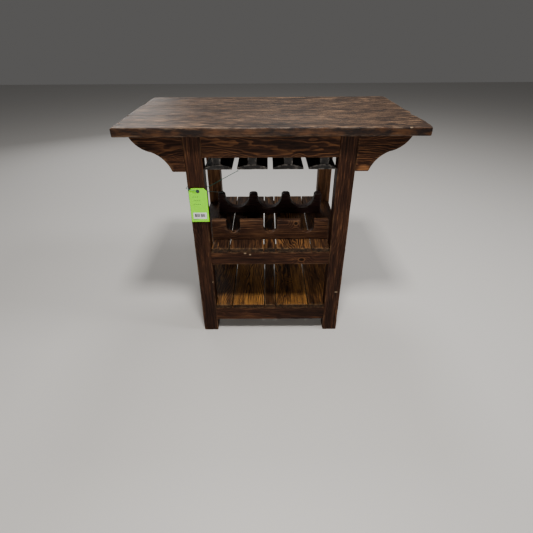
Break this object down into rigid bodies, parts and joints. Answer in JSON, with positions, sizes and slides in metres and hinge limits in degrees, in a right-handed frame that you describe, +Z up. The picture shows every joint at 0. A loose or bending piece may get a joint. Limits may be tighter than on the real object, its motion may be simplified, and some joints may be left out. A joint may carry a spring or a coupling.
{
  "type": "bar cart",
  "caption": "Rustic wooden bar cart: long plank top on square legs with scroll corbels, hanging stemware rails, a wine bottle rack and an open lower shelf.",
  "frame": {"origin": "on the floor under the centre of the top's bounding box", "axes": "+X along the length of the top, +Y from the front to the back, +Z up"},
  "size_m": [1.078, 0.603, 0.914],
  "materials": {
    "top_wood": "worn satin wax over dark brown stain",
    "frame_wood": "dark brown stained old wood, satin wax",
    "shelf_wood": "amber brown stained planks, satin wax",
    "rack_wood": "reddish dark brown stain, satin",
    "dowel_wood": "plain hardwood",
    "steel": "dulled steel",
    "tag_card": "fluorescent yellow-green card",
    "tag_trim": "matte paper",
    "tag_ring": "dark reinforcement ring",
    "string": "dark green covered elastic"
  },
  "bodies": {
    "cart": {"apron_front": "frame_wood", "apron_left": "frame_wood", "apron_rear": "frame_wood", "apron_right": "frame_wood", "apron_top_dowels": "dowel_wood", "bottle_body_board": "rack_wood", "bottle_neck_board": "rack_wood", "corbel_dowels": "dowel_wood", "corbel_front_left": "frame_wood", "corbel_front_right": "frame_wood", "corbel_rear_left": "frame_wood", "corbel_rear_right": "frame_wood", "glass_rail_flange_1": "rack_wood", "glass_rail_flange_2": "rack_wood", "glass_rail_flange_3": "rack_wood", "glass_rail_flange_4": "rack_wood", "glass_rail_screws": "steel", "glass_rail_stem_1": "rack_wood", "glass_rail_stem_2": "rack_wood", "glass_rail_stem_3": "rack_wood", "glass_rail_stem_4": "rack_wood", "leg_front_left": "frame_wood", "leg_front_right": "frame_wood", "leg_rear_left": "frame_wood", "leg_rear_right": "frame_wood", "low_rail_front": "frame_wood", "low_rail_left": "frame_wood", "low_rail_rear": "frame_wood", "low_rail_right": "frame_wood", "low_shelf_nails": "steel", "low_shelf_plank_1": "shelf_wood", "low_shelf_plank_2": "shelf_wood", "low_shelf_plank_3": "shelf_wood", "low_shelf_plank_4": "shelf_wood", "low_shelf_plank_5": "shelf_wood", "mid_rail_front": "frame_wood", "mid_rail_left": "frame_wood", "mid_rail_rear": "frame_wood", "mid_rail_right": "frame_wood", "mid_shelf_nails": "steel", "mid_shelf_plank_1": "shelf_wood", "mid_shelf_plank_2": "shelf_wood", "mid_shelf_plank_3": "shelf_wood", "mid_shelf_plank_4": "shelf_wood", "mid_shelf_plank_5": "shelf_wood", "rack_board_screws": "steel", "string_knot_lower": "string", "string_knot_upper": "string", "tag_string": "string", "top_plank_front": "top_wood", "top_plank_middle": "top_wood", "top_plank_rear": "top_wood", "top_seam_dowels": "dowel_wood"},
    "hang_tag": {"tag_card": "tag_card", "tag_eyelet": "tag_ring", "tag_sticker": "tag_trim"}
  },
  "joints": [
    {"name": "tag_swing", "type": "hinge", "parent": "cart", "child": "hang_tag", "pos_m": [-0.272, -0.27875, 0.6833], "axis": [1, 0, 0], "range_deg": [-20, 0]}
  ]
}
